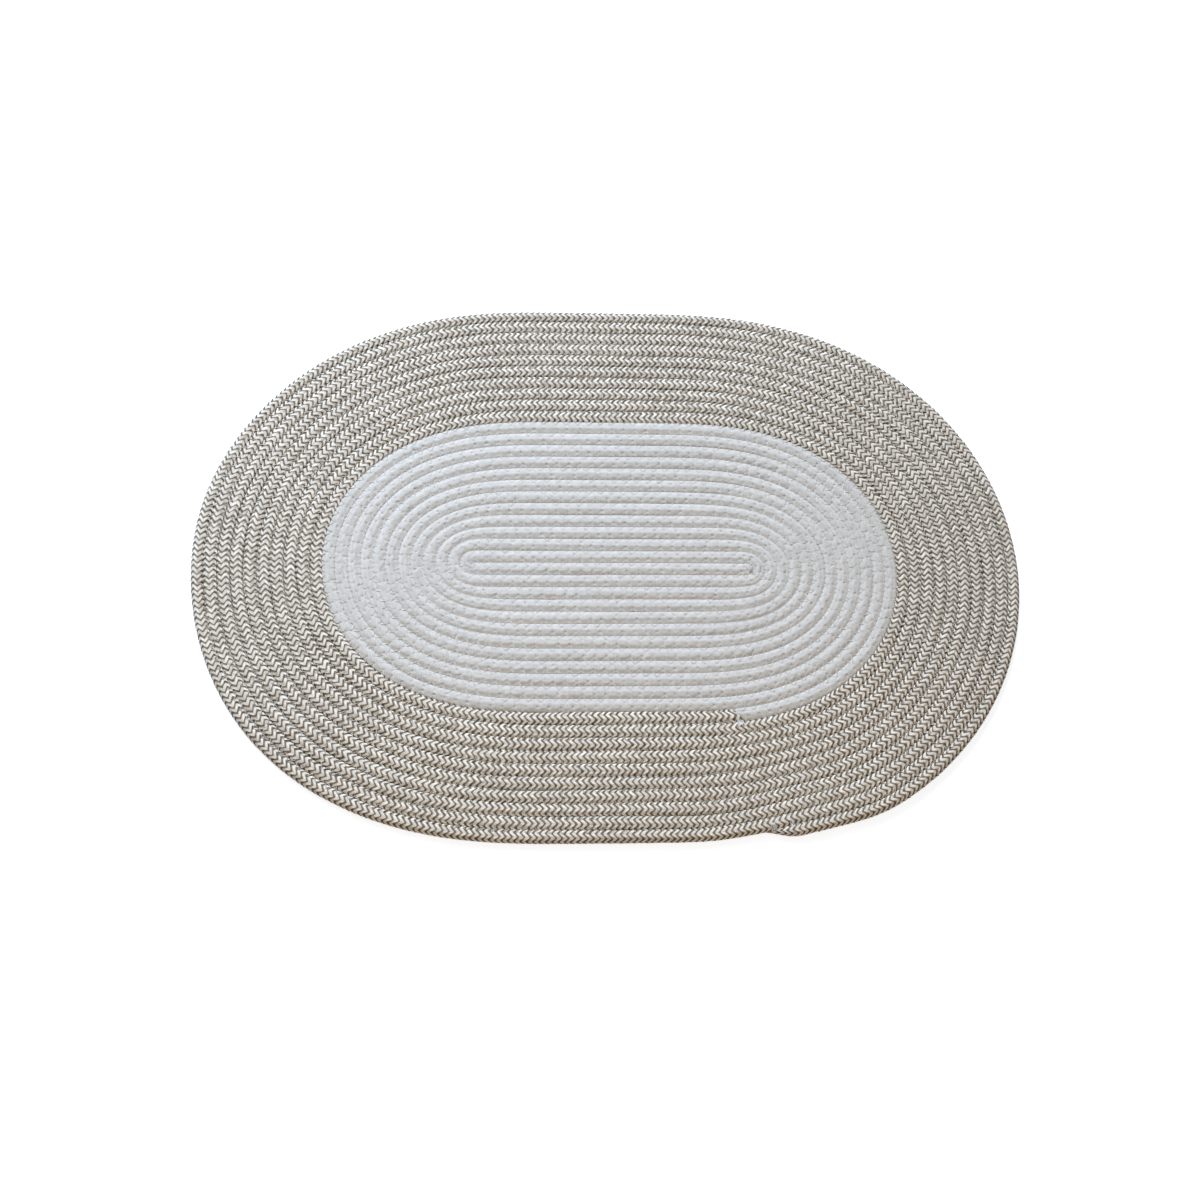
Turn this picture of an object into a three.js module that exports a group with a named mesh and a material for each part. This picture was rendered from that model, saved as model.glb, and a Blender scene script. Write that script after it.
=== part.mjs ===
// Oval doormat: two braided cords wound flat, edge to edge, into one mat.
// Millimetres, +Z up. The mat lies on z = 0, and the origin is at the middle of its outline.

import * as THREE from "three";

// Cord
const ROW_PITCH = 9.2; // centre of one row to the centre of the next
const ROW_GAP = 0.3; // clear space between neighbouring rows
const CORD_WIDTH = ROW_PITCH - ROW_GAP;
const CORD_HEIGHT = 8;
const FLAT_SHARE = 0.5; // flat top and flat underside, as a share of the cord's width

// Winding: half turns about two centres, each half a pitch wider than the last
const CORE_HALF_LENGTH = 99; // half of the straight first row
const CREAM_HALF_TURNS = 24;
const ALL_HALF_TURNS = 44;
const LAST_SHARE = 0.94; // how much of its last half turn each cord covers

// Outline: hand-wound rows ease into the ends, lie closer in the centre, and are a little uneven
const EASE = 0.235; // how far the long sides bow, 0 for straight sides
const EASE_RADIUS = 4 * ROW_PITCH; // rows inside this radius keep straight sides
const CENTRE_RADIUS = (CREAM_HALF_TURNS / 2 + 0.5) * ROW_PITCH;
const CENTRE_END_SHARE = 0.96; // row pitch at the two ends of the centre, over that at its sides
const CORNER_FULLNESS = { leftFront: 0.02, leftBack: -0.01, rightFront: 0, rightBack: 0 };
const TUCK_DEPTH = 5.5; // the border is drawn in where the outer end is sewn down
const TUCK_ANGLE = -73;
const TUCK_SPREAD = 17;

// Cord ends
const JOIN_SLANT = -0.0023; // half turns per millimetre across the cord, at the slanting join
const JOIN_GAP = 0.001; // half turns between the two cords at the join
const OUTER_END = [
  { share: 0.914, size: 1 },
  { share: 0.926, size: 0.8 },
  { share: 0.935, size: 0.55 },
  { share: 0.94, size: 0.32 },
];

// Sections along a row, closer together where it bends
const QUARTER_SECTIONS = 8;
const SECTION_SPREAD = 1.2;

const BORDER_RADIUS = (ALL_HALF_TURNS / 2 + 0.5) * ROW_PITCH;
const BORDER_WIDTH = BORDER_RADIUS - CENTRE_RADIUS;

function cornerFullness(left, sine) {
  if (left) return sine > 0 ? CORNER_FULLNESS.leftBack : CORNER_FULLNESS.leftFront;
  return sine > 0 ? CORNER_FULLNESS.rightBack : CORNER_FULLNESS.rightFront;
}

function drawnIn(degrees, radius) {
  const away = Math.abs(degrees - TUCK_ANGLE) / TUCK_SPREAD;
  if (away >= 1 || radius <= CENTRE_RADIUS) return 0;
  const share = (radius - CENTRE_RADIUS) / BORDER_WIDTH;
  return TUCK_DEPTH * share * Math.cos((away * Math.PI) / 2) ** 2;
}

// The place of a point of the cord: "turn" counts half turns from the middle of the first row,
// and "across" is the distance from the cord's middle line, positive towards the mat's edge.
function windingPoint(turn, across) {
  if (turn < 0) return { x: -2 * turn * CORE_HALF_LENGTH, y: -across };
  const half = Math.min(Math.floor(turn) + 1, ALL_HALF_TURNS);
  const left = half % 2 === 1;
  const swept = (turn - half + 1) * 180;
  const degrees = left ? -90 - swept : 90 - swept;
  const angle = THREE.MathUtils.degToRad(degrees);
  const cosine = Math.abs(Math.cos(angle)) < 1e-9 ? 0 : Math.cos(angle);
  const sine = Math.sin(angle);
  const radius = (half * ROW_PITCH) / 2 + across;
  const fullness = cornerFullness(left, sine) * Math.sin(2 * angle) ** 2;
  const tuck = left ? 0 : drawnIn(degrees, radius) / radius;
  const stretch = 1 + (fullness * radius) / BORDER_RADIUS - tuck;
  const ease = EASE * (1 - Math.exp(-((radius / EASE_RADIUS) ** 2)));
  const centrePart = Math.min(radius, CENTRE_RADIUS) * (1 - CENTRE_END_SHARE);
  const reach = (radius - centrePart) * stretch;
  const straight = CORE_HALF_LENGTH * Math.sign(cosine) * Math.abs(cosine) ** ease;
  const centreY = left ? ROW_PITCH / 2 : 0;
  return { x: straight + reach * cosine, y: centreY + radius * stretch * sine };
}

// Shares of a half turn where the cord gets a section, the same for every row,
// so that the flats of neighbouring rows stay side by side
function sectionShares() {
  const quarter = [];
  for (let i = 0; i <= QUARTER_SECTIONS; i += 1) {
    quarter.push(0.5 * (i / QUARTER_SECTIONS) ** SECTION_SPREAD);
  }
  const back = quarter.slice(1, -1).reverse();
  const shares = [...quarter, ...back.map((share) => 1 - share), LAST_SHARE];
  return shares.sort((a, b) => a - b);
}

function sectionsBetween(firstTurn, lastTurn) {
  const shares = sectionShares();
  const turns = [];
  for (let half = Math.floor(firstTurn); half < lastTurn; half += 1) {
    turns.push(...shares.map((share) => half + share));
  }
  return turns
    .filter((turn) => turn > firstTurn && turn < lastTurn)
    .map((turn) => ({ turn, size: 1, slant: 0 }));
}

function cordSection() {
  const side = CORD_WIDTH / 2;
  const flat = side * FLAT_SHARE;
  const section = new THREE.Shape();
  section.moveTo(-flat, 0);
  section.lineTo(flat, 0);
  section.lineTo(side, CORD_HEIGHT / 2);
  section.lineTo(flat, CORD_HEIGHT);
  section.lineTo(-flat, CORD_HEIGHT);
  section.lineTo(-side, CORD_HEIGHT / 2);
  section.closePath();
  return section;
}

// A straight cord with one step for each section, wound into its place.
// A narrowed section keeps its inner edge and its underside.
function windCord(sections) {
  const steps = sections.length - 1;
  const geometry = new THREE.ExtrudeGeometry(cordSection(), { depth: steps, steps, bevelEnabled: false });
  geometry.deleteAttribute("uv");
  const places = geometry.getAttribute("position");
  for (let i = 0; i < places.count; i += 1) {
    const { turn, size, slant } = sections[Math.round(places.getZ(i))];
    const fromInside = (places.getX(i) + CORD_WIDTH / 2) * size;
    const across = fromInside - CORD_WIDTH / 2;
    const place = windingPoint(turn + slant * across, across);
    places.setXYZ(i, place.x, place.y, places.getY(i) * Math.sqrt(size));
  }
  geometry.computeVertexNormals();
  return geometry;
}

function creamSections() {
  const joinTurn = CREAM_HALF_TURNS - 1 + LAST_SHARE;
  const start = { turn: -0.5, size: 1, slant: 0 };
  const join = { turn: joinTurn, size: 1, slant: JOIN_SLANT };
  return [start, ...sectionsBetween(-0.5, joinTurn - JOIN_GAP), join];
}

function borderSections() {
  const joinTurn = CREAM_HALF_TURNS - 1 + LAST_SHARE + JOIN_GAP;
  const lastHalf = ALL_HALF_TURNS - 1;
  const end = OUTER_END.map(({ share, size }) => ({ turn: lastHalf + share, size, slant: 0 }));
  const join = { turn: joinTurn, size: 1, slant: JOIN_SLANT };
  return [join, ...sectionsBetween(joinTurn, end[0].turn), ...end];
}

const creamYarn = new THREE.MeshStandardMaterial({ color: 0xd9d8d4, roughness: 0.95, metalness: 0 });
const twoToneYarn = new THREE.MeshStandardMaterial({ color: 0xada495, roughness: 0.95, metalness: 0 });

const creamCord = new THREE.Mesh(windCord(creamSections()), creamYarn);
creamCord.name = "cream_cord";

const twoToneCord = new THREE.Mesh(windCord(borderSections()), twoToneYarn);
twoToneCord.name = "two_tone_cord";

const doormat = new THREE.Group();
doormat.add(creamCord, twoToneCord);

const middle = new THREE.Box3().setFromObject(doormat).getCenter(new THREE.Vector3());
doormat.position.set(-middle.x, -middle.y, 0);
doormat.updateMatrixWorld(true);

export default doormat;
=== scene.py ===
"""Oval doormat: two braided cords wound flat and sewn row to row, with its yarns, threads and studio."""

import math

import bmesh
import bpy
import numpy as np
from bpy.props import FloatProperty, FloatVectorProperty, PointerProperty
from mathutils import Matrix, Vector
from mathutils.kdtree import KDTree


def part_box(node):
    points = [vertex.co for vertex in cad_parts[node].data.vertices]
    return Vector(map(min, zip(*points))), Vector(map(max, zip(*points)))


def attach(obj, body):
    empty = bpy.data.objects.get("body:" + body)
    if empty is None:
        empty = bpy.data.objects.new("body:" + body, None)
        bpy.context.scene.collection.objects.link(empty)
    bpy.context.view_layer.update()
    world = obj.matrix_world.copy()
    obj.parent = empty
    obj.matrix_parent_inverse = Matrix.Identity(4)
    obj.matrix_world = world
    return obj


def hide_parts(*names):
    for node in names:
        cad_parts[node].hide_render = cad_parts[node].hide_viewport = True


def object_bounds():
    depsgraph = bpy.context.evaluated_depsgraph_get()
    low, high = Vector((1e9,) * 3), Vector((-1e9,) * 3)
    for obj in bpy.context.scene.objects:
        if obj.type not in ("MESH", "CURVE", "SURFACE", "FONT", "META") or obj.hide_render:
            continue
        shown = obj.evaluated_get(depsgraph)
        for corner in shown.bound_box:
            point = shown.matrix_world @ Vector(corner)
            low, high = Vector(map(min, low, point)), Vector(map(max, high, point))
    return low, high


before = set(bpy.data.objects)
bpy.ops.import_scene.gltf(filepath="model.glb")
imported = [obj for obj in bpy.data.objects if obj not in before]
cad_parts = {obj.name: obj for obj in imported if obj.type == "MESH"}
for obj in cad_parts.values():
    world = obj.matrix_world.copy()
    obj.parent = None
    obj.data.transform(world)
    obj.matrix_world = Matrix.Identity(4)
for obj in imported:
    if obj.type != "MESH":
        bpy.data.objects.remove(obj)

bl_info = {
    "name": "Braided doormat",
    "version": (1, 0, 0),
    "blender": (4, 5, 0),
    "location": "3D View > Sidebar > Doormat",
    "description": "Oval doormat of two braided cords, wound flat and sewn row to row",
    "category": "Add Mesh",
}

CAD_BOX = [list(corner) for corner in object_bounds()]
MM = 0.001

# The winding, as the solids have it: half turns about two centres, each half a pitch wider
ROW_PITCH = 9.2 * MM
ROW_GAP = 0.3 * MM  # clear space between neighbouring rows of the solids
CORD_WIDTH = ROW_PITCH - ROW_GAP
CORE_HALF_LENGTH = 99 * MM  # half of the straight first row
CREAM_HALF_TURNS = 24
ALL_HALF_TURNS = 44
LAST_SHARE = 0.94  # how much of its last half turn each cord covers
EASE = 0.235  # how far the long sides bow, 0 for straight sides
EASE_RADIUS = 4 * ROW_PITCH  # the bow is slight well inside this radius, and full well outside it
CENTRE_RADIUS = (CREAM_HALF_TURNS / 2 + 0.5) * ROW_PITCH
CENTRE_END_SHARE = 0.96  # row pitch at the two ends of the centre, over that at its sides
FULLNESS_LEFT_FRONT = 0.02  # hand-wound corners are a little fuller or flatter than round
FULLNESS_LEFT_BACK = -0.01
TUCK_DEPTH = 5.5 * MM  # the border is drawn in where the outer end is sewn down
TUCK_ANGLE = -73  # degrees
TUCK_SPREAD = 17  # degrees
BORDER_RADIUS = (ALL_HALF_TURNS / 2 + 0.5) * ROW_PITCH
FIRST_BEND_TURN = 0.5  # counted from the middle of the first row
JOIN_TURN = CREAM_HALF_TURNS - 1 + LAST_SHARE
END_TURN = ALL_HALF_TURNS - 1 + LAST_SHARE
START_REACH = 4.4 * MM  # the first row's rounded end, past its square solid
JOIN_SLANT = -0.8  # along the cord for each step across it, where the two cords meet
JOIN_OVERLAP = 2.4 * MM

# The braid
WALE_STEPS = (1, 2, 3, 3, 3, 3, 2, 1)  # mesh steps across each column of stitches, fewest underneath
WALES = len(WALE_STEPS)
STEPS_PER_STITCH = 2
ZIGZAG_ROUNDNESS = 0.5  # 0 for a zigzag with sharp turns, 1 for a wave
ROUND_WIDTH = 10.8 * MM  # of a cord that nothing presses
TOP_ROOM = 0.6  # for a plump stitch on top of the section, as a share of the relief
UV_NAME = "braid"
INNER_HOLE_NAME = "inner_needle_hole"  # offset from the nearest hole, and how near and strong it is
OUTER_HOLE_NAME = "outer_needle_hole"
HOLE_REACH = 2.0 * MM
BRIDGE_REACH = 1.7 * MM
SEAM_SOFTNESS = 0.35 * MM  # how gently a row's side rounds into the filled seam
WELD_DISTANCE = 0.001 * MM

# The yarn's look
PAINTED_LIGHT_FROM, PAINTED_LIGHT_TO = 6.5 * MM, 7.7 * MM  # heights between which the dark strand goes from painted shade in the seams to painted light on top
PALE_SHARE_BELOW, PALE_SHARE_ON_TOP = 0.57, 0.63  # of each pair of stitches
FIBRES_ALONG, FIBRES_ACROSS = 9.0, 2.5  # for each stitch and each column
PLIES_ALONG, PLIES_ACROSS = 2.0, 3.0
SLOW_CHANGES = 0.013  # of tone, for each stitch along the cord
# the ply tones are painted shade in the creases between plies
SLOW_TONES, FIBRE_TONES, PLY_TONES = (0.95, 1.05), (0.9, 1.08), (0.94, 1.02)
DARKEST_SIDE, DARKEST_END = 0.35, 0.45  # painted shade, as a share of a strand's tone at its side and at its end, before the groove's own share
SIDE_POWER, END_POWER = 0.6, 0.5  # under 1, so that the painted shade keeps close to its sides and ends
FIBRE_BUMP, PLY_BUMP, HOLE_BUMP = 0.06, 0.06, 0.45  # in millimetres
FAINTEST_HOLE = 0.15  # how near and strong a needle hole has to be, to show
PAINTED_HOLE_SHADE = 0.8  # painted shade in a needle hole, as a share of the yarn's tone
THREAD_PLIES = 6.0  # for each unit of its UV length
# painted shade in the creases between the thread's plies
THREAD_TONES = (0.8, 1.0)

# The sewing thread
THREAD_SIDES = 4
THREAD_TIP = 0.3  # thickness of its very ends, as a share of the rest
THREAD_UV_STEP = 0.25  # for each mesh step along it
TACK_PARTS = 6  # for each crossing of a tacking stitch
TACK_SPACING = 0.9 * MM
TACK_UNEVEN_ALONG, TACK_UNEVEN_ACROSS = 0.1 * TACK_SPACING, 0.1 * MM
TACK_DIP, TACK_LIFT = -0.5 * MM, 0.1 * MM  # at a needle hole, and between two

# Sizes of a cord towards its end: (millimetres from the tip, share of the full section)
START_TIP = ((0, 0), (0.2, 0.5), (0.8, 0.75), (1.8, 0.9), (3.0, 0.98), (4.2, 1))
JOIN_TIP = ((0, 0), (0.15, 0.6), (0.5, 0.85), (1.2, 0.96), (2.2, 1))
OUTER_TIP = ((0, 0), (1.5, 0.1), (5.0, 0.24), (9.0, 0.45), (15.0, 0.78), (20.0, 0.94), (25.0, 1))


# Shapes


def winding_points(turn):
    """The cord's middle line at each count of half turns from the middle of the first row."""
    half = np.clip(np.floor(turn) + 1, 1, ALL_HALF_TURNS)
    left = half % 2 == 1
    swept = (turn - half + 1) * 180
    degrees = np.where(left, -90 - swept, 90 - swept)
    cosine, sine = np.cos(np.radians(degrees)), np.sin(np.radians(degrees))
    cosine[np.abs(cosine) < 1e-12] = 0  # a right angle's, which floats leave a little off
    radius = half * ROW_PITCH / 2
    full = np.where(left, np.where(sine > 0, FULLNESS_LEFT_BACK, FULLNESS_LEFT_FRONT), 0)
    fullness = full * (2 * sine * cosine) ** 2
    away = np.abs(degrees - TUCK_ANGLE) / TUCK_SPREAD
    border_share = np.clip((radius - CENTRE_RADIUS) / (BORDER_RADIUS - CENTRE_RADIUS), 0, None)
    tuck = TUCK_DEPTH * border_share * np.cos(np.minimum(away, 1) * np.pi / 2) ** 2
    stretch = 1 + fullness * radius / BORDER_RADIUS - np.where(left, 0, tuck) / radius
    ease = EASE * (1 - np.exp(-((radius / EASE_RADIUS) ** 2)))
    centre_part = np.minimum(radius, CENTRE_RADIUS) * (1 - CENTRE_END_SHARE)
    straight = CORE_HALF_LENGTH * np.sign(cosine) * np.abs(cosine) ** ease
    x = straight + (radius - centre_part) * stretch * cosine
    y = np.where(left, ROW_PITCH / 2, 0) + radius * stretch * sine
    return x, y


class WoundLine:
    """Where the cord's middle line lies, by length from the first row's sewn end."""

    STEP = 0.5 * MM
    QUARTER_POINTS = 241
    SMOOTHED_STEPS = 3  # on each side, for the line's direction

    def __init__(self):
        # closest together where half turns meet, because the eased sides change fastest there
        quarter = 0.5 * np.linspace(0, 1, self.QUARTER_POINTS) ** 4
        shares = np.concatenate([quarter, 1 - quarter[-2:0:-1]])
        turns = (np.arange(ALL_HALF_TURNS)[:, None] + shares).ravel()
        turns = np.append(turns[turns < END_TURN], END_TURN)
        x, y = winding_points(turns)
        x = np.append(CORE_HALF_LENGTH + START_REACH, x)
        y = np.append(0, y)
        self.turns = np.append(-0.5, turns)
        self.lengths = np.append(0, np.cumsum(np.hypot(np.diff(x), np.diff(y))))
        high = Vector(CAD_BOX[1])
        last_end = BORDER_RADIUS - ROW_GAP / 2
        centre_part = CENTRE_RADIUS * (1 - CENTRE_END_SHARE)
        shift_x = high.x - (CORE_HALF_LENGTH + last_end - centre_part)
        shift_y = high.y - last_end
        count = int(self.lengths[-1] / self.STEP) + 1
        self.grid = np.linspace(0, self.lengths[-1], count)
        self.x = np.interp(self.grid, self.lengths, x) + shift_x
        self.y = np.interp(self.grid, self.lengths, y) + shift_y
        reach = self.SMOOTHED_STEPS
        tx = np.gradient(np.pad(self.x, reach, mode="reflect", reflect_type="odd"))
        ty = np.gradient(np.pad(self.y, reach, mode="reflect", reflect_type="odd"))
        window = np.ones(2 * reach + 1) / (2 * reach + 1)
        tx, ty = (np.convolve(t, window, mode="valid") for t in (tx, ty))
        size = np.hypot(tx, ty)
        self.nx, self.ny = -ty / size, tx / size

    def at_turn(self, turn):
        """Length along the cord at a count of half turns."""
        return float(np.interp(turn, self.turns, self.lengths))

    def place(self, along, across):
        """Points at a length along the cord and a distance across it, positive outwards."""
        nx, ny = (np.interp(along, self.grid, n) for n in (self.nx, self.ny))
        x = np.interp(along, self.grid, self.x) + nx * across
        y = np.interp(along, self.grid, self.y) + ny * across
        return x, y


def slow_wave(along, seed, shortest, longest, count=5):
    """A gentle unevenness between -1 and 1, the same on every run."""
    rng = np.random.default_rng(seed)
    periods = np.geomspace(shortest, longest, count)
    waves = [np.sin(2 * np.pi * (along / p + rng.random())) for p in periods]
    return np.sum(waves, axis=0) / count


class CordSection:
    """The braided cord's rounded section, flat where it lies, from the underside round the inner side."""

    POINTS = 720
    SQUARENESS = 2.1  # 2 for an ellipse
    MIDDLE = 0.49  # height of the widest place, as a share: under half, so that the underside is flat
    FLOOR_GAP = 0.02 * MM

    def __init__(self, width, height):
        angle = -np.pi / 2 - np.linspace(0, 2 * np.pi, self.POINTS + 1)
        bend = 2 / self.SQUARENESS
        cosine, sine = np.cos(angle), np.sin(angle)
        across = width / 2 * np.sign(cosine) * np.abs(cosine) ** bend
        up = height * (self.MIDDLE + (1 - self.MIDDLE) * np.sign(sine) * np.abs(sine) ** bend)
        up = np.maximum(up, 0)
        steps = np.hypot(np.diff(across), np.diff(up))
        self.share = np.append(0, np.cumsum(steps)) / steps.sum()
        self.across, self.up = across, up
        da, du = np.gradient(across), np.gradient(up)
        size = np.hypot(da, du)
        self.out_across, self.out_up = -du / size, da / size

    def point(self, share, relief):
        """A point of the section at a share of its round, moved outwards by the relief."""
        share = share % 1
        across, up, oa, ou = (
            np.interp(share, self.share, values)
            for values in (self.across, self.up, self.out_across, self.out_up)
        )
        return across + oa * relief, np.maximum(up + ou * relief, self.FLOOR_GAP)

    def top(self, across):
        """Height of the upper surface at a distance across the cord."""
        upper = slice(self.POINTS // 4, 3 * self.POINTS // 4 + 1)
        return np.interp(across, self.across[upper], self.up[upper])


def cord_section(relief):
    """The section under the stitches, which leaves room for their relief at the sides and on top."""
    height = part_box("cream_cord")[1][2]
    return CordSection(ROUND_WIDTH - relief, height - TOP_ROOM * relief)


class Marks:
    """Places along the seam, each with a strength, to be found from points near them."""

    def __init__(self, x, y, strength, reach):
        self.strength, self.reach = strength, reach
        self.tree = KDTree(len(x))
        for i, place in enumerate(zip(x, y)):
            self.tree.insert((*place, 0), i)
        self.tree.balance()

    def offsets(self, x, y, wanted):
        """Every wanted point's offset from the mark nearest to it, and how near and strong that mark is."""
        offset = np.zeros((len(x), 3))
        for i in np.flatnonzero(wanted):
            mark, index, distance = self.tree.find((x[i], y[i], 0))
            if distance < 2 * self.reach:
                near = math.exp(-((distance / self.reach) ** 2))
                offset[i] = (x[i] - mark.x, y[i] - mark.y, near * self.strength[index])
        return offset


class Seam:
    """The zigzag seam between each row and the one inside it: needle holes, and bridges over the seam."""

    FIRST_TURN, LAST_TURN = FIRST_BEND_TURN + 0.05, END_TURN - 0.02
    UNEVEN_ALONG, UNEVEN_ACROSS = 0.3 * MM, 0.2 * MM
    HOLE_STRENGTHS = (0.45, 1.0)
    TIGHT_BRIDGES, LOOSE_BRIDGES = (0.5, 1.0), (0.0, 0.4)  # strengths, in turn
    SEED = 40

    def __init__(self, line, sizes):
        start, self.end = line.at_turn(self.FIRST_TURN), line.at_turn(self.LAST_TURN)
        count = int((self.end - start) / sizes.seam_step)
        rng = np.random.default_rng(self.SEED)
        step = np.arange(count + 1)
        self.along = start + step * sizes.seam_step + rng.normal(0, self.UNEVEN_ALONG, count + 1)
        side = np.where(step % 2 == 0, 1, -1)
        reach = sizes.seam_reach + rng.normal(0, self.UNEVEN_ACROSS, count + 1)
        self.across = -ROW_PITCH / 2 + side * reach
        x, y = line.place(self.along, self.across)
        strength = rng.uniform(*self.HOLE_STRENGTHS, count + 1)
        # those near a row's inner edge, then those near its outer edge
        self.holes = [Marks(x[own], y[own], strength[own], HOLE_REACH) for own in (side > 0, side < 0)]
        x, y = line.place((self.along[:-1] + self.along[1:]) / 2, np.full(count, -ROW_PITCH / 2))
        tight, loose = (rng.uniform(*ends, count) for ends in (self.TIGHT_BRIDGES, self.LOOSE_BRIDGES))
        self.bridges = Marks(x, y, np.where(step[:-1] % 2 == 0, tight, loose), BRIDGE_REACH)


def grid_piece(name, columns, rounds):
    """A mesh grid with its column and round counts for each corner, and a UV map to fill."""
    bm = bmesh.new()
    bm.loops.layers.uv.new(UV_NAME)
    bmesh.ops.create_grid(bm, x_segments=columns, y_segments=rounds, size=1)
    mesh = bpy.data.meshes.new(name)
    bm.to_mesh(mesh)
    bm.free()
    places = np.empty(3 * len(mesh.vertices), dtype=np.float32)
    mesh.vertices.foreach_get("co", places)
    places = places.reshape(-1, 3)
    column = np.rint((places[:, 0] + 1) / 2 * columns).astype(int)
    around = np.rint((places[:, 1] + 1) / 2 * rounds).astype(int)
    return mesh, column, around


def set_mesh(mesh, points, uv):
    """Moves the grid's corners to their places, and fills its UV map."""
    mesh.vertices.foreach_set("co", np.ascontiguousarray(points, dtype=np.float32).ravel())
    corner = np.empty(len(mesh.loops), dtype=np.int32)
    mesh.loops.foreach_get("vertex_index", corner)
    flat = np.ascontiguousarray(uv[corner], dtype=np.float32).ravel()
    mesh.uv_layers[UV_NAME].data.foreach_set("uv", flat)


def close_tube(mesh, column, around, rounds, tips):
    """Welds the tube's long seam, gathers the rings at its tips, and caps the ends that stay open."""
    bm = bmesh.new()
    bm.from_mesh(mesh)
    bm.verts.ensure_lookup_table()
    first = {int(c): int(i) for i, c in zip(np.flatnonzero(around == 0), column[around == 0])}
    seam = np.flatnonzero(around == rounds)
    last = {int(c): int(i) for i, c in zip(seam, column[around == rounds])}
    ends = [bm.verts[i] for i in np.flatnonzero(tips)]
    bmesh.ops.weld_verts(bm, targetmap={bm.verts[last[c]]: bm.verts[first[c]] for c in last})
    ends = [v for v in ends if v.is_valid]
    if ends:
        bmesh.ops.remove_doubles(bm, verts=ends, dist=WELD_DISTANCE)
        # two faces gathered onto the same corners leave one behind, as a loose fin
        ends = [v for v in ends if v.is_valid]
        fins = {face for v in ends for edge in v.link_edges if edge.is_boundary for face in edge.link_faces}
        bmesh.ops.delete(bm, geom=list(fins), context="FACES")
    for face in bm.faces:
        face.smooth = True
    open_edges = [e for e in bm.edges if e.is_boundary]
    if open_edges:
        caps = bmesh.ops.holes_fill(bm, edges=open_edges, sides=0)["faces"]
        caps = bmesh.ops.poke(bm, faces=caps)["faces"]
        for face in caps:
            face.smooth = False
        for edge in open_edges:
            edge.smooth = False
    bm.to_mesh(mesh)
    bm.free()
    mesh.update()


def new_piece(name, mesh, material, nodes):
    """An object of the mesh, fixed to the mat, that stands for the nodes if there are any."""
    piece = bpy.data.objects.new(name, mesh)
    mesh.materials.append(material)
    bpy.context.scene.collection.objects.link(piece)
    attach(piece, "root")
    if nodes:
        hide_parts(*nodes)
    return piece


def tip_share(tip, distance):
    """Share of the cord's full section at a distance from the tip."""
    rows = np.array(tip["sizes"]) * (MM, 1)
    return np.interp(distance, rows[:, 0], rows[:, 1])


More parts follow.
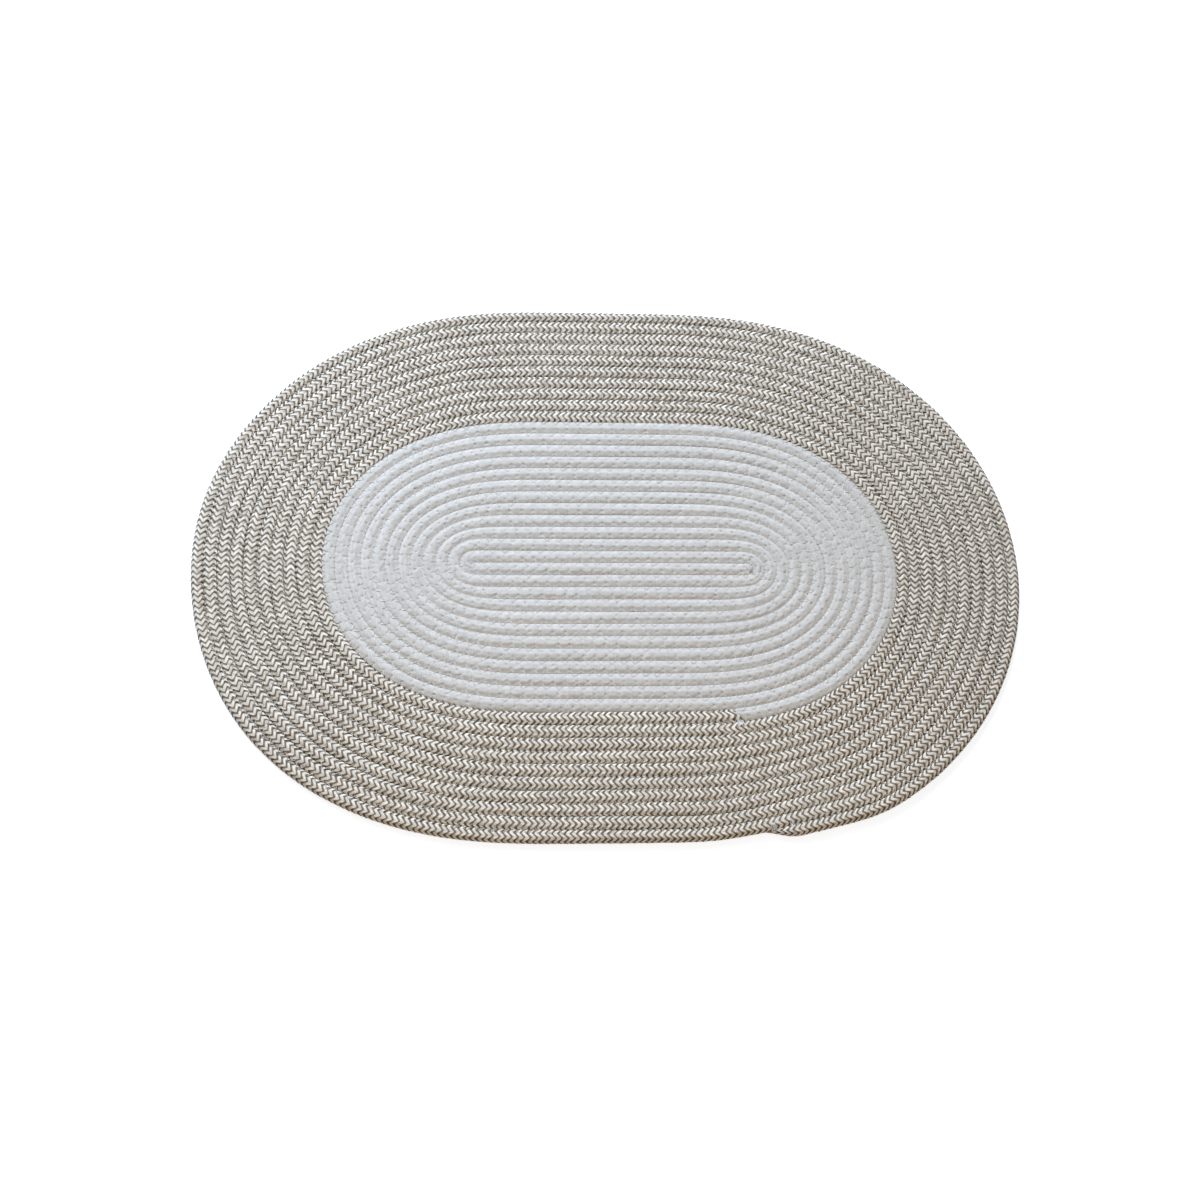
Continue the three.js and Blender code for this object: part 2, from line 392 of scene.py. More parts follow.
class Braid:
    """One braided cord along the wound line, made in lengths of whole stitches."""

    # whole stitches laid before the start and past the end, then clipped to them
    LEAD_IN, RUN_OUT = 2, 3
    SPARE = 4  # stitches at each end of the tables of unevenness
    # heights as shares of the relief: on a strand and between two, inside a column and at its edge
    STRAND, PARTING, STRAND_EDGE, PARTING_EDGE = 0.5, -0.22, -0.1, -0.62
    PLUMPNESS, MOST_PLUMPNESS = 0.13, 0.3  # spread and limit, as shares of the relief
    UNEVEN = 0.16 * MM
    # waves along the cord: their size, shortest and longest period
    CREEP = (0.22 * MM, 12 * MM, 90 * MM)
    WANDER = (0.1 * MM, 30 * MM, 400 * MM)
    THICKNESS_WAVE = (0.018, 50 * MM, 600 * MM)
    # the braid's turning about its own middle: columns of stitches, and the length of a wave
    TURN, TURN_LENGTH = 0.35, 830 * MM
    SMALL_TURN, SMALL_TURN_LENGTH = 0.25, 310 * MM
    TIP_LENGTH = 3 * MM  # where the rings are gathered
    SLANT_LENGTH = 22 * MM
    CONTACT_GAP = 0.03 * MM  # from a pressed side to the middle of the seam
    OUTER_TURNS = 2  # half turns with nothing outside them
    OUTER_BLEND = 12 * MM
    OUTER_REACH = CORD_WIDTH / 2 + 0.1 * MM
    UPPER_FROM = 4.5 * MM  # seams are filled and sewn above this height

    def __init__(self, line, sizes, heights, start, end, start_tip, end_tip, seed):
        self.line, self.sizes = line, sizes
        self.relief, self.seam_floor, self.pit_depth, self.bridge_height = heights
        self.start, self.end = start, end
        self.start_tip, self.end_tip = start_tip, end_tip
        self.seed = seed
        self.section = cord_section(self.relief)
        self.seam = Seam(line, sizes)
        self.stitches = math.ceil((end - start) / sizes.stitch_length) + self.RUN_OUT
        self.table_length = self.stitches + 2 * self.SPARE
        rng = np.random.default_rng(seed)
        plumpness = rng.normal(0, self.PLUMPNESS, (self.table_length, WALES))
        self.plumpness = plumpness.clip(-self.MOST_PLUMPNESS, self.MOST_PLUMPNESS)
        self.wale_grid = np.append(
            [wale + i / steps for wale, steps in enumerate(WALE_STEPS) for i in range(steps)], WALES
        )
        uneven = rng.normal(0, self.UNEVEN, (STEPS_PER_STITCH * self.table_length, sum(WALE_STEPS)))
        self.uneven = (uneven + np.roll(uneven, 1, axis=1) + np.roll(uneven, -1, axis=1)) / 2

    def wave(self, along, kind, number):
        """One of the cord's own slow waves, at its full size."""
        size, shortest, longest = kind
        return size * slow_wave(along, self.seed + number, shortest, longest)

    def points(self, step, around):
        """Places, UV, needle holes and tips of the corners at a step along the cord and a step round it."""
        sizes = self.sizes
        u = step / STEPS_PER_STITCH
        v = self.wale_grid[around]
        zigzag = 1 - np.abs(v % 2 - 1)
        zigzag += ZIGZAG_ROUNDNESS * (0.5 - 0.5 * np.cos(np.pi * zigzag) - zigzag)
        along = self.start + u * sizes.stitch_length + zigzag * sizes.stitch_slant
        along += self.wave(along, self.CREEP, 1)
        along += self.uneven[step + self.SPARE * STEPS_PER_STITCH, around % sum(WALE_STEPS)]
        along = np.clip(along, self.start, self.end)
        turned = self.TURN + self.TURN * np.sin(2 * np.pi * along / self.TURN_LENGTH + self.seed)
        turned += self.SMALL_TURN * np.sin(2 * np.pi * along / self.SMALL_TURN_LENGTH + 1)
        share = 0.5 + (v + turned - WALES / 2) / WALES
        on_strand = step % STEPS_PER_STITCH != 0
        inside = v % 1 != 0
        height = np.where(
            inside,
            np.where(on_strand, self.STRAND, self.PARTING),
            np.where(on_strand, self.STRAND_EDGE, self.PARTING_EDGE),
        )
        stitch = np.clip(np.floor(u).astype(int) + self.SPARE, 0, self.table_length - 1)
        wale = np.floor(v).astype(int) % WALES
        height = height + np.where(inside & on_strand, self.plumpness[stitch, wale], 0)
        across, up = self.section.point(share, height * self.relief)
        up = up * (1 + self.wave(along, self.THICKNESS_WAVE, 2))
        from_start, from_end = along - self.start, self.end - along
        for tip, distance in ((self.start_tip, from_start), (self.end_tip, from_end)):
            size = tip_share(tip, distance)
            keep = tip["keeps"] * CORD_WIDTH / 2
            across = keep + (across - keep) * size
            up = up * size ** tip["thins"]
            slanted = np.clip(1 - distance / self.SLANT_LENGTH, 0, 1) ** 2
            along = along + tip["slant"] * across * slanted
        # rows press flat against their neighbours, and only the mat's edge stays round
        contact = ROW_PITCH / 2 - self.CONTACT_GAP
        edge_start = self.line.at_turn(END_TURN - self.OUTER_TURNS)
        free = np.clip((along - edge_start) / self.OUTER_BLEND, 0, 1)
        outer = contact * (1 - free) + free * self.OUTER_REACH
        pressed = np.where(across > 0, np.minimum(across, contact), np.maximum(across, -contact))
        round_edge = across * outer / (ROUND_WIDTH / 2)
        across = np.where(across > 0, pressed * (1 - free) + round_edge * free, pressed)
        across = across + self.wave(along, self.WANDER, 3)
        x, y = self.line.place(along, across)
        # fuzz and thread round out the bottom of every seam
        upper = up > self.UPPER_FROM
        above = np.logaddexp(0, (up - self.seam_floor) / SEAM_SOFTNESS)
        rounded = self.seam_floor + SEAM_SOFTNESS * above
        filled = upper * np.where(across > 0, 1 - free, 1)
        up = up + filled * (rounded - up)
        holes = [marks.offsets(x, y, upper) for marks in self.seam.holes]
        up = up - self.pit_depth * np.max([hole[:, 2] for hole in holes], axis=0) ** 2
        up = up + self.bridge_height * self.seam.bridges.offsets(x, y, upper)[:, 2]
        tips = (from_start < self.TIP_LENGTH) | (from_end < self.TIP_LENGTH)
        return np.column_stack([x, y, up]), np.column_stack([u, v]), holes, tips

    def lay(self, names, material, node):
        """Makes the cord in as many equal lengths as there are names."""
        first = -self.LEAD_IN * STEPS_PER_STITCH
        last = self.stitches * STEPS_PER_STITCH
        cuts = np.linspace(first, last, len(names) + 1)
        cuts = (np.rint(cuts / STEPS_PER_STITCH) * STEPS_PER_STITCH).astype(int)
        rounds = sum(WALE_STEPS)
        for name, begin, stop in zip(names, cuts[:-1], cuts[1:]):
            mesh, column, around = grid_piece(name, int(stop - begin), rounds)
            places, uv, holes, tips = self.points(column + begin, around)
            set_mesh(mesh, places, uv)
            for hole_name, hole in zip((INNER_HOLE_NAME, OUTER_HOLE_NAME), holes):
                offsets = mesh.attributes.new(hole_name, "FLOAT_VECTOR", "POINT")
                offsets.data.foreach_set("vector", hole.astype(np.float32).ravel())
            close_tube(mesh, column, around, rounds, tips)
            piece = new_piece(name, mesh, material, [node])


def thread_piece(name, paths, thickness, material):
    """Sewing thread along paths of points."""
    bm = bmesh.new()
    for path in paths:
        columns = len(path) - 1
        ahead = np.gradient(path, axis=0)
        ahead /= np.linalg.norm(ahead, axis=1)[:, None]
        side = np.cross(ahead, (0, 0, 1))
        side /= np.linalg.norm(side, axis=1)[:, None]
        over = np.cross(side, ahead)
        mesh, column, around = grid_piece(f"{name}_path", columns, THREAD_SIDES)
        angle = 2 * np.pi * (around + 0.5) / THREAD_SIDES
        size = thickness / 2 * np.where((column == 0) | (column == columns), THREAD_TIP, 1)
        places = path[column] + size[:, None] * (
            np.cos(angle)[:, None] * side[column] + np.sin(angle)[:, None] * over[column]
        )
        set_mesh(mesh, places, np.column_stack([column * THREAD_UV_STEP, around / THREAD_SIDES]))
        close_tube(mesh, column, around, THREAD_SIDES, np.zeros(len(column), dtype=bool))
        bm.from_mesh(mesh)
        bpy.data.meshes.remove(mesh)
    joined = bpy.data.meshes.new(name)
    bm.to_mesh(joined)
    bm.free()
    new_piece(name, joined, material, [])


def seam_path(line, seam, start, end, heights):
    """The thread from needle hole to needle hole, with a height for each part of a crossing."""
    parts = len(heights)
    holes = np.flatnonzero((seam.along > start) & (seam.along < end))
    step = np.arange((len(holes) - 1) * parts + 1) / parts
    along = np.interp(step, np.arange(len(holes)), seam.along[holes])
    across = np.interp(step, np.arange(len(holes)), seam.across[holes])
    up = np.resize(heights, len(step))
    x, y = line.place(along, across)
    return np.column_stack([x, y, up])


def tack_path(line, start, end, middle, half_width, height, seed):
    """Close stitches to and fro over a cord's end."""
    crossings = max(1, round((end - start) / TACK_SPACING))
    step = np.arange(crossings * TACK_PARTS + 1)
    rng = np.random.default_rng(seed)
    uneven = np.repeat(rng.normal(0, 1, (crossings + 1, 2)), TACK_PARTS, axis=0)[: len(step)]
    along = start + step / (crossings * TACK_PARTS) * (end - start) + uneven[:, 0] * TACK_UNEVEN_ALONG
    swing = 2 * np.abs(step / TACK_PARTS % 2 - 1) - 1
    across = middle + swing * half_width + uneven[:, 1] * TACK_UNEVEN_ACROSS
    up = height(across) + np.where(step % TACK_PARTS == 0, TACK_DIP, TACK_LIFT)
    x, y = line.place(along, across)
    return np.column_stack([x, y, up])


# Materials


class Graph:
    """A material's node tree, with short calls for the nodes that the yarns need."""

    def __init__(self, name):
        self.material = bpy.data.materials.new(name)
        self.material.use_nodes = True
        self.tree = self.material.node_tree
        self.tree.nodes.clear()

    def node(self, kind, inputs=(), **settings):
        """A node, with each input linked to a socket or set to a value."""
        node = self.tree.nodes.new(kind)
        for key, value in settings.items():
            setattr(node, key, value)
        for key, value in dict(inputs).items():
            socket = node.inputs[key]
            if isinstance(value, bpy.types.NodeSocket):
                self.tree.links.new(value, socket)
            else:
                socket.default_value = value
        return node

    def math(self, operation, *values):
        """The result of a calculation."""
        return self.node("ShaderNodeMath", dict(enumerate(values)), operation=operation).outputs[0]

    def mix(self, factor, first, second, blend="MIX"):
        """Two colours mixed."""
        node = self.node("ShaderNodeMix", data_type="RGBA", blend_type=blend)
        for socket, value in zip((node.inputs[0], node.inputs[6], node.inputs[7]), (factor, first, second)):
            if isinstance(value, bpy.types.NodeSocket):
                self.tree.links.new(value, socket)
            else:
                socket.default_value = value
        return node.outputs[2]

    def shaded(self, colour, tone):
        """The colour times the tone."""
        grey = self.node("ShaderNodeCombineXYZ", {0: tone, 1: tone, 2: tone}).outputs[0]
        return self.mix(1.0, colour, grey, "MULTIPLY")

    def span(self, value, low, high):
        """Maps 0 to 1 onto low to high."""
        return self.node(
            "ShaderNodeMapRange", {"Value": value, "To Min": low, "To Max": high}, clamp=True
        ).outputs[0]

    def finish(self, colour, bump_height, bump_distance, roughness, sheen):
        """The finished material, of matt fibres."""
        bump = self.node(
            "ShaderNodeBump", {"Height": bump_height, "Strength": 1.0, "Distance": bump_distance}
        )
        shader = self.node(
            "ShaderNodeBsdfPrincipled",
            {
                "Base Color": colour,
                "Roughness": roughness,
                "Specular IOR Level": 0.2,
                "Sheen Weight": sheen,
                "Sheen Roughness": 0.6,
                "Sheen Tint": rgba((1, 1, 1)),
                "Normal": bump.outputs[0],
            },
        )
        self.node("ShaderNodeOutputMaterial", {"Surface": shader.outputs[0]})
        return self.material


def rgba(colour):
    """The colour as a node takes it, with its alpha."""
    return (*colour, 1.0)


def needle_holes(g, radius):
    """Up to 1 in a needle hole and 0 beyond its radius, from the offsets that the braid's points carry."""
    found = None
    for name in (INNER_HOLE_NAME, OUTER_HOLE_NAME):
        offset = g.node("ShaderNodeAttribute", attribute_name=name).outputs["Vector"]
        parts = g.node("ShaderNodeSeparateXYZ", {0: offset})
        flat = g.node("ShaderNodeCombineXYZ", {0: parts.outputs[0], 1: parts.outputs[1]}).outputs[0]
        distance = g.node("ShaderNodeVectorMath", {0: flat}, operation="LENGTH").outputs["Value"]
        depth = g.node(
            "ShaderNodeMapRange",
            {"Value": distance, "From Min": 0.0, "From Max": radius, "To Min": 1.0, "To Max": 0.0},
            interpolation_type="SMOOTHSTEP",
        ).outputs[0]
        near = g.math("GREATER_THAN", parts.outputs[2], FAINTEST_HOLE)
        near = g.math("MULTIPLY", parts.outputs[2], near)
        hole = g.math("MULTIPLY", depth, near)
        found = hole if found is None else g.math("MAXIMUM", found, hole)
    return found


def yarn_uv(g):
    """Stitches along the cord and columns round it, or a thread's own length and round."""
    uv = g.node("ShaderNodeUVMap", uv_map=UV_NAME).outputs[0]
    parts = g.node("ShaderNodeSeparateXYZ", {0: uv})
    return parts.outputs[0], parts.outputs[1]


def half_wave(g, phase):
    """Rises from 0 to 1 and falls again over each whole number."""
    return g.math("ABSOLUTE", g.math("SINE", g.math("MULTIPLY", phase, math.pi)))


def two_tone_colour(g, u, pale_strand, dark_strand, painted_lit_strand):
    """Stitches in turn pale and dark. The dark ones get painted light on top and painted shade deep in the
    seams, by height, and the pale share is a little wider on top.
    """
    place = g.node("ShaderNodeTexCoord").outputs["Object"]
    height = g.node("ShaderNodeSeparateXYZ", {0: place}).outputs[2]
    # 0 deep in the seams and 1 on top: the dark strand's painted shade and painted light
    painted_light = g.node(
        "ShaderNodeMapRange",
        {"Value": height, "From Min": PAINTED_LIGHT_FROM, "From Max": PAINTED_LIGHT_TO},
        interpolation_type="SMOOTHSTEP",
    ).outputs[0]
    dark = g.mix(painted_light, rgba(dark_strand), rgba(painted_lit_strand))
    pair = g.math("FRACT", g.math("MULTIPLY", u, 0.5))
    second = g.math("GREATER_THAN", pair, g.span(painted_light, PALE_SHARE_BELOW, PALE_SHARE_ON_TOP))
    return g.mix(second, rgba(pale_strand), dark)


def yarn_material(name, strands, groove_shade, spread, hole_radius):
    """Braided yarn on the cord's UV map, in one colour or in two tones."""
    g = Graph(name)
    u, v = yarn_uv(g)
    stitch, wale = g.math("FLOOR", u), g.math("FLOOR", v)
    in_stitch, in_wale = g.math("FRACT", u), g.math("FRACT", v)
    # each strand's own shade
    strand_at = g.node("ShaderNodeCombineXYZ", {0: stitch, 1: wale}).outputs[0]
    shade = g.node("ShaderNodeTexWhiteNoise", {"Vector": strand_at}, noise_dimensions="3D").outputs[0]
    # a slow change of tone along the cord
    slow_at = g.math("MULTIPLY", u, SLOW_CHANGES)
    slow = g.node(
        "ShaderNodeTexNoise", {"W": slow_at, "Scale": 1.0, "Detail": 3.0}, noise_dimensions="1D"
    ).outputs[0]
    # fibres along the strand, and its two plies twisted round each other, with painted shade in the creases
    # between the plies
    fibre_at = g.node(
        "ShaderNodeCombineXYZ",
        {0: g.math("MULTIPLY", u, FIBRES_ALONG), 1: g.math("MULTIPLY", v, FIBRES_ACROSS)},
    ).outputs[0]
    fibre = g.node(
        "ShaderNodeTexNoise", {"Vector": fibre_at, "Scale": 1.0, "Detail": 4.0, "Roughness": 0.65}
    ).outputs[0]
    ply_phase = g.math("ADD", g.math("MULTIPLY", u, PLIES_ALONG), g.math("MULTIPLY", v, PLIES_ACROSS))
    ply = half_wave(g, ply_phase)
    # painted shade at a strand's sides, and at its ends, where it dives under the next column
    side = g.math("POWER", half_wave(g, in_stitch), SIDE_POWER)
    end = g.math("POWER", half_wave(g, in_wale), END_POWER)
    painted_shade_share = g.math("MULTIPLY", g.span(side, DARKEST_SIDE, 1.0), g.span(end, DARKEST_END, 1.0))
    # needle holes: a dent in the bump, and painted shade in the tone
    hole = needle_holes(g, hole_radius)
    tone = g.span(shade, 1 - spread, 1 + spread)
    for amount, tones in (
        (slow, SLOW_TONES),
        (fibre, FIBRE_TONES),
        (ply, PLY_TONES),
        (painted_shade_share, (groove_shade, 1.0)),
        (hole, (1.0, PAINTED_HOLE_SHADE)),
    ):
        tone = g.math("MULTIPLY", tone, g.span(amount, *tones))
    colour = two_tone_colour(g, u, *strands) if len(strands) == 3 else rgba(strands[0])
    bump = g.math("ADD", g.math("MULTIPLY", fibre, FIBRE_BUMP), g.math("MULTIPLY", ply, PLY_BUMP))
    bump = g.math("SUBTRACT", bump, g.math("MULTIPLY", hole, HOLE_BUMP))
    return g.finish(g.shaded(colour, tone), bump, bump_distance=1 * MM, roughness=0.95, sheen=0.15)


def thread_material(name, colour):
    """Fine twisted sewing thread."""
    g = Graph(name)
    along, around = yarn_uv(g)
    ply = half_wave(g, g.math("ADD", g.math("MULTIPLY", along, THREAD_PLIES), around))
    # painted shade in the creases between the plies, and the same twist in the bump
    toned = g.shaded(rgba(colour), g.span(ply, *THREAD_TONES))
    return g.finish(toned, ply, bump_distance=0.05 * MM, roughness=0.8, sheen=0.1)


def seen_share(tree):
    """1 for rays that reach the camera straight or by a mirror or glass, 0 for those that give light."""
    path = tree.nodes.new("ShaderNodeLightPath")
    seen = path.outputs["Is Camera Ray"]
    for kind in ("Is Glossy Ray", "Is Transmission Ray"):
        add = tree.nodes.new("ShaderNodeMath")
        add.operation, add.use_clamp = "ADD", True
        tree.links.new(seen, add.inputs[0])
        tree.links.new(path.outputs[kind], add.inputs[1])
        seen = add.outputs[0]
    return seen


def floor_material(name, colour, lift):
    """Pale floor that the camera sees as white, and that still shows the mat's shadow, in a neutral grey."""
    material = bpy.data.materials.new(name)
    material.use_nodes = True
    tree = material.node_tree
    tree.nodes.clear()
    diffuse = tree.nodes.new("ShaderNodeBsdfDiffuse")
    diffuse.inputs["Color"].default_value = rgba(colour)
    glow = tree.nodes.new("ShaderNodeEmission")
    glow.inputs["Color"].default_value = rgba(lift)
    black = tree.nodes.new("ShaderNodeEmission")
    black.inputs["Strength"].default_value = 0
    seen = tree.nodes.new("ShaderNodeMixShader")
    both = tree.nodes.new("ShaderNodeAddShader")
    output = tree.nodes.new("ShaderNodeOutputMaterial")
    for source, target in (
        (seen_share(tree), seen.inputs[0]),
        (black.outputs[0], seen.inputs[1]),
        (glow.outputs[0], seen.inputs[2]),
        (seen.outputs[0], both.inputs[0]),
        (diffuse.outputs[0], both.inputs[1]),
        (both.outputs[0], output.inputs["Surface"]),
    ):
        tree.links.new(source, target)
    return material


# Settings


def length_property(name, description, millimetres, least=0):
    return FloatProperty(
        name=name, description=description, default=millimetres * MM, min=least * MM,
        unit="LENGTH", precision=5,
    )


class DoormatSizes(bpy.types.PropertyGroup):
    """Sizes of the braid and of the sewing thread"""

    stitch_length: length_property(
        "Stitch length", "Length of one braided stitch along the cord", 2.135, least=0.5
    )
    stitch_slant: length_property(
        "Stitch slant", "How far a stitch runs along the cord while it crosses one column", 3.1
    )
    cream_relief: length_property("Centre relief", "Height of a cream stitch over the gap beside it", 0.42)
    two_tone_relief: length_property(
        "Border relief", "Height of a two-tone stitch over the gap beside it", 0.75
    )
    centre_thread: length_property(
        "Centre thread", "Thickness of the thread that sews the centre", 0.8, least=0.1
    )
    border_thread: length_property(
        "Border thread", "Thickness of the thread that sews the border", 0.6, least=0.1
    )
    end_thread: length_property(
        "End thread", "Thickness of the thread that tacks the cord ends", 0.8, least=0.1
    )
    seam_step: length_property(
        "Seam step", "Length along the seam from one crossing of the thread to the next", 4.15, least=1
    )
    seam_reach: length_property(
        "Seam reach", "How far the thread reaches over the rows on each side of a seam", 2.9, least=0.5
    )
    cream_seam_floor: length_property(
        "Centre seam floor", "Height of the filled seam between two centre rows", 6.65, least=5
    )
    two_tone_seam_floor: length_property(
        "Border seam floor", "Height of the filled seam between two border rows", 6.4, least=5
    )
    cream_pit_depth: length_property(
        "Centre pit depth", "How far the thread draws the cream yarn in at a needle hole", 0.42
    )
    two_tone_pit_depth: length_property(
        "Border pit depth", "How far the thread draws the two-tone yarn in at a needle hole", 0.6
    )
    cream_bridge_height: length_property(
        "Centre bridge height", "How far a crossing of the thread closes a centre seam", 0.1
    )
    two_tone_bridge_height: length_property(
        "Border bridge height", "How far a crossing of the thread closes a border seam", 0.45
    )
    # the hole's darkness is painted shade, over a dent in the bump
    hole_radius: length_property(
        "Needle hole radius", "Radius of the dark hole where the needle goes through", 1.5, least=0.1
    )


def colour_property(name, description, default):
    return FloatVectorProperty(
        name=name, description=description, default=default, subtype="COLOR", size=3, min=0, max=1
    )


class DoormatColours(bpy.types.PropertyGroup):
    """Colours of the yarns, threads and floor"""

    cream: colour_property("Cream yarn", "Yarn of the centre", (0.665, 0.662, 0.66))
    pale_strand: colour_property("Pale strand", "Lighter strand of the border", (0.835, 0.795, 0.74))
    # the dark strand deep in the seams, with painted shade, then on top of the rows, with painted light
    brown_strand: colour_property("Brown strand", "Darker strand of the border", (0.1, 0.079, 0.058))
    painted_lit_strand: colour_property("Dark strand, painted light on top", "Darker strand on top of the rows", (0.235, 0.192, 0.146))
    seam_thread: colour_property("Centre thread", "Thread that sews the centre", (0.68, 0.675, 0.67))
    border_thread: colour_property("Border thread", "Thread that sews the border", (0.6, 0.57, 0.52))
    tack_thread: colour_property("End thread", "Thread that holds the cord ends", (0.7, 0.71, 0.75))
    floor: colour_property("Floor", "Studio floor", (0.83, 0.86, 0.89))


# Operators


class LayCreamBraid(bpy.types.Operator):
    """Lays the cream cord of the centre, from its sewn start to the slanting join"""

    bl_idname = "doormat.lay_cream_braid"
    bl_label = "Cream braid"

    def execute(self, context):
        sizes, colours = context.scene.doormat_sizes, context.scene.doormat_colours
        line = WoundLine()
        heights = (
            sizes.cream_relief, sizes.cream_seam_floor, sizes.cream_pit_depth, sizes.cream_bridge_height,
        )
        braid = Braid(
            line, sizes, heights,
            0, line.at_turn(JOIN_TURN) + JOIN_OVERLAP / 2,
            {"sizes": START_TIP, "keeps": 0, "slant": 0, "thins": 0.5},
            {"sizes": JOIN_TIP, "keeps": -0.35, "slant": JOIN_SLANT, "thins": 0.5},
            seed=3,
        )
        material = yarn_material(
            "cream_braid", [colours.cream], groove_shade=0.75, spread=0.06, hole_radius=sizes.hole_radius
        )
        braid.lay(["cream_braid_inner", "cream_braid_outer"], material, "cream_cord")
        return {"FINISHED"}


class LayTwoToneBraid(bpy.types.Operator):
    """Lays the two-tone cord of the border, from the join to its outer end"""

    bl_idname = "doormat.lay_two_tone_braid"
    bl_label = "Two-tone braid"

    def execute(self, context):
        sizes, colours = context.scene.doormat_sizes, context.scene.doormat_colours
        line = WoundLine()
        heights = (
            sizes.two_tone_relief, sizes.two_tone_seam_floor,
            sizes.two_tone_pit_depth, sizes.two_tone_bridge_height,
        )
        braid = Braid(
            line, sizes, heights,
            line.at_turn(JOIN_TURN) - JOIN_OVERLAP / 2, line.at_turn(END_TURN),
            {"sizes": JOIN_TIP, "keeps": 0.3, "slant": JOIN_SLANT, "thins": 0.5},
            {"sizes": OUTER_TIP, "keeps": -1.0, "slant": 0, "thins": 0.3},
            seed=8,
        )
        strands = [colours.pale_strand, colours.brown_strand, colours.painted_lit_strand]
        material = yarn_material(
            "two_tone_braid", strands, groove_shade=0.66, spread=0.13, hole_radius=sizes.hole_radius
        )
        names = ["two_tone_braid_inner", "two_tone_braid_middle", "two_tone_braid_outer"]
        braid.lay(names, material, "two_tone_cord")
        return {"FINISHED"}


class SewRows(bpy.types.Operator):
    """Sews each row to the one inside it, with thread that zigzags over the seam"""

    bl_idname = "doormat.sew_rows"
    bl_label = "Seam thread"

    # heights of the thread at a needle hole and at each quarter of the way to the next
    CENTRE_HEIGHTS = (6.4 * MM, 6.95 * MM, 6.7 * MM, 6.95 * MM)
    BORDER_HEIGHTS = (6.5 * MM, 7.2 * MM, 7.0 * MM, 7.2 * MM)

    def execute(self, context):
        sizes, colours = context.scene.doormat_sizes, context.scene.doormat_colours
        line = WoundLine()
        seam = Seam(line, sizes)
        join = line.at_turn(JOIN_TURN)
        for name, start, end, heights, thickness, colour, slot in (
            (
                "cream_seam_thread", 0, join, self.CENTRE_HEIGHTS,
                sizes.centre_thread, colours.seam_thread, "cream_yarn",
            ),
            (
                "border_seam_thread", join, seam.end, self.BORDER_HEIGHTS,
                sizes.border_thread, colours.border_thread, "two_tone_yarn",
            ),
        ):
            path = seam_path(line, seam, start, end, heights)
            thread_piece(name, [path], thickness, thread_material(name, colour))
        return {"FINISHED"}


class TackEnds(bpy.types.Operator):
    """Tacks the start, the join and the outer end with close stitches"""

    bl_idname = "doormat.tack_ends"
    bl_label = "End stitches"

    # a place on the line, the first and last stitch from there, middle and half width across, and seed
    STITCHES = (
        ("start", 0.8 * MM, 3.5 * MM, 0, 2.4 * MM, 31),
        ("first_bend", -3 * MM, 3 * MM, -3.6 * MM, 1.6 * MM, 36),
        ("join", -6 * MM, 1 * MM, -ROW_PITCH / 2, 2.6 * MM, 35),
        ("join", -3 * MM, 2 * MM, 6.2 * MM, 2.8 * MM, 32),
        ("end", -7 * MM, -3 * MM, -6 * MM, 3.2 * MM, 33),
        ("end", -20 * MM, -17 * MM, -ROW_PITCH / 2, 2.4 * MM, 34),
    )
    SEAM_SIDE = 3.9 * MM  # from a row's middle to where the thread leaves it for the next row
    CLEARANCE = 0.2 * MM

    def execute(self, context):
        sizes, colours = context.scene.doormat_sizes, context.scene.doormat_colours
        line = WoundLine()
        section = cord_section(sizes.two_tone_relief)

        def over_rows(across):
            from_middle = np.abs((across + ROW_PITCH / 2) % ROW_PITCH - ROW_PITCH / 2)
            return section.top(np.minimum(from_middle, self.SEAM_SIDE)) + self.CLEARANCE

        places = {
            "start": 0,
            "first_bend": line.at_turn(FIRST_BEND_TURN),
            "join": line.at_turn(JOIN_TURN),
            "end": line.at_turn(END_TURN),
        }
        paths = [
            tack_path(line, places[place] + first, places[place] + last, middle, half_width, over_rows, seed)
            for place, first, last, middle, half_width, seed in self.STITCHES
        ]
        material = thread_material("tack_thread", colours.tack_thread)
        thread_piece("end_stitches", paths, sizes.end_thread, material)
        return {"FINISHED"}


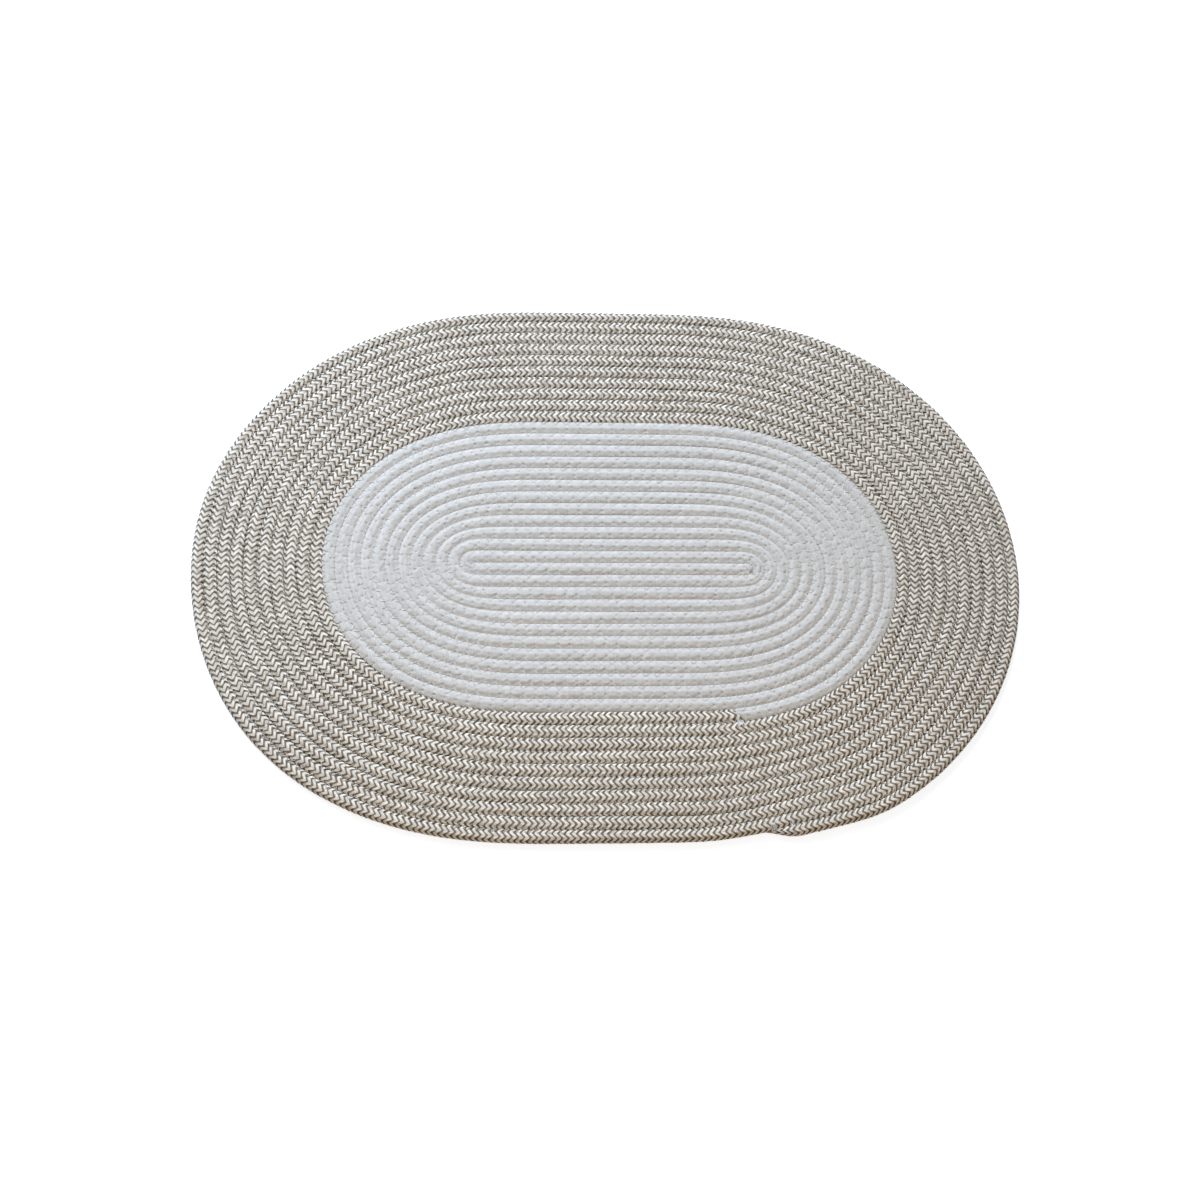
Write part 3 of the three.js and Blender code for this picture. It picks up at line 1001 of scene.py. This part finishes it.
class SetStage(bpy.types.Operator):
    """Sets up the pale floor, the soft studio lights and the camera"""

    bl_idname = "doormat.set_stage"
    bl_label = "Studio"

    # the camera: where it looks and from how far, in metres, then degrees, and millimetres for the lens
    TARGET = (-10.2 * MM, -25.9 * MM, 0)
    DISTANCE = 1.195
    ELEVATION = 70.54
    AZIMUTH = -16.54
    ROLL = 15.70
    LENS, SENSOR = 50, 36
    LIGHTS = (  # name, place, width and height, power in watts, colour
        ("key_light", (-0.8, 2.3, 1.45), (2.4, 1.0), 56.5, (0.84, 0.91, 1.0)),
        ("cool_light", (-0.6, 0.7, 0.8), (0.8, 0.8), 2.8, (0.55, 0.78, 1.0)),
        ("warm_light", (0.1, -0.8, 1.0), (0.8, 0.8), 2.0, (1.0, 0.67, 0.32)),
    )
    LIGHT_SPREAD = 130  # degrees
    LIT_POINT = (-0.35, 0.1, 0)
    SKY = (1.0, 0.93, 0.83)
    SKY_STRENGTH = 0.237
    FLOOR_RADIUS = 1.2  # metres, as far as the lights keep it white
    FLOOR_SEGMENTS = 96
    FLOOR_LIFT = (0.62, 0.665, 0.72)  # cool, against the warm light that fills the shadow

    def execute(self, context):
        self.set_camera(context)
        self.set_lights(context)
        self.set_floor(context)
        return {"FINISHED"}

    def set_camera(self, context):
        camera = bpy.data.objects.new("camera", bpy.data.cameras.new("camera"))
        context.scene.collection.objects.link(camera)
        camera.data.lens, camera.data.sensor_width = self.LENS, self.SENSOR
        turn, tilt, roll = (math.radians(a) for a in (self.AZIMUTH, self.ELEVATION, self.ROLL))
        right = Vector((math.cos(turn), math.sin(turn), 0))
        ahead = Vector((-math.sin(turn), math.cos(turn), 0))
        look = ahead * math.cos(tilt) - Vector((0, 0, math.sin(tilt)))
        up = right.cross(look)
        right, up = right * math.cos(roll) + up * math.sin(roll), up * math.cos(roll) - right * math.sin(roll)
        axes = Matrix((right, up, -look)).transposed().to_4x4()
        camera.matrix_world = Matrix.Translation(Vector(self.TARGET) - look * self.DISTANCE) @ axes
        context.scene.camera = camera

    def set_lights(self, context):
        for name, place, size, power, colour in self.LIGHTS:
            lamp = bpy.data.lights.new(name, "AREA")
            lamp.shape, lamp.size, lamp.size_y = "RECTANGLE", *size
            lamp.energy, lamp.color = power, colour
            lamp.spread = math.radians(self.LIGHT_SPREAD)
            light = bpy.data.objects.new(name, lamp)
            light.location = place
            light.rotation_mode = "QUATERNION"
            light.rotation_quaternion = (Vector(self.LIT_POINT) - light.location).to_track_quat("-Z", "Y")
            context.scene.collection.objects.link(light)
        self.set_world(context)

    def set_world(self, context):
        world = bpy.data.worlds.new("studio")
        context.scene.world = world
        world.use_nodes = True
        tree = world.node_tree
        tree.nodes.clear()
        light = tree.nodes.new("ShaderNodeBackground")
        light.inputs["Color"].default_value = rgba(self.SKY)
        light.inputs["Strength"].default_value = self.SKY_STRENGTH
        white = tree.nodes.new("ShaderNodeBackground")
        white.inputs["Color"].default_value = rgba((1, 1, 1))
        mix = tree.nodes.new("ShaderNodeMixShader")
        output = tree.nodes.new("ShaderNodeOutputWorld")
        tree.links.new(seen_share(tree), mix.inputs[0])
        tree.links.new(light.outputs[0], mix.inputs[1])
        tree.links.new(white.outputs[0], mix.inputs[2])
        tree.links.new(mix.outputs[0], output.inputs["Surface"])

    def set_floor(self, context):
        bm = bmesh.new()
        bmesh.ops.create_circle(
            bm, cap_ends=True, segments=self.FLOOR_SEGMENTS, radius=self.FLOOR_RADIUS
        )
        mesh = bpy.data.meshes.new("studio_floor")
        bm.to_mesh(mesh)
        bm.free()
        floor = bpy.data.objects.new("studio_floor", mesh)
        colour = context.scene.doormat_colours.floor
        mesh.materials.append(floor_material("studio_floor", colour, self.FLOOR_LIFT))
        context.scene.collection.objects.link(floor)


class DoormatPanel(bpy.types.Panel):
    """The doormat's sizes, colours and pieces"""

    bl_idname = "VIEW3D_PT_doormat"
    bl_label = "Braided doormat"
    bl_space_type = "VIEW_3D"
    bl_region_type = "UI"
    bl_category = "Doormat"

    def draw(self, context):
        layout = self.layout
        for group in (context.scene.doormat_sizes, context.scene.doormat_colours):
            column = layout.column(align=True)
            for name in group.bl_rna.properties.keys():
                if name not in ("rna_type", "name"):
                    column.prop(group, name)
        column = layout.column(align=True)
        for operator in OPERATORS:
            column.operator(operator.bl_idname)


OPERATORS = (SetStage, LayCreamBraid, LayTwoToneBraid, SewRows, TackEnds)
CLASSES = (DoormatSizes, DoormatColours, *OPERATORS, DoormatPanel)


def register():
    for cls in CLASSES:
        bpy.utils.register_class(cls)
    bpy.types.Scene.doormat_sizes = PointerProperty(type=DoormatSizes)
    bpy.types.Scene.doormat_colours = PointerProperty(type=DoormatColours)


def unregister():
    del bpy.types.Scene.doormat_colours
    del bpy.types.Scene.doormat_sizes
    for cls in reversed(CLASSES):
        bpy.utils.unregister_class(cls)


def main():
    register()
    bpy.context.scene.view_settings.view_transform = "Standard"
    bpy.ops.doormat.set_stage()
    bpy.ops.doormat.lay_cream_braid()
    bpy.ops.doormat.lay_two_tone_braid()
    bpy.ops.doormat.sew_rows()
    bpy.ops.doormat.tack_ends()


if __name__ == "__main__":
    main()
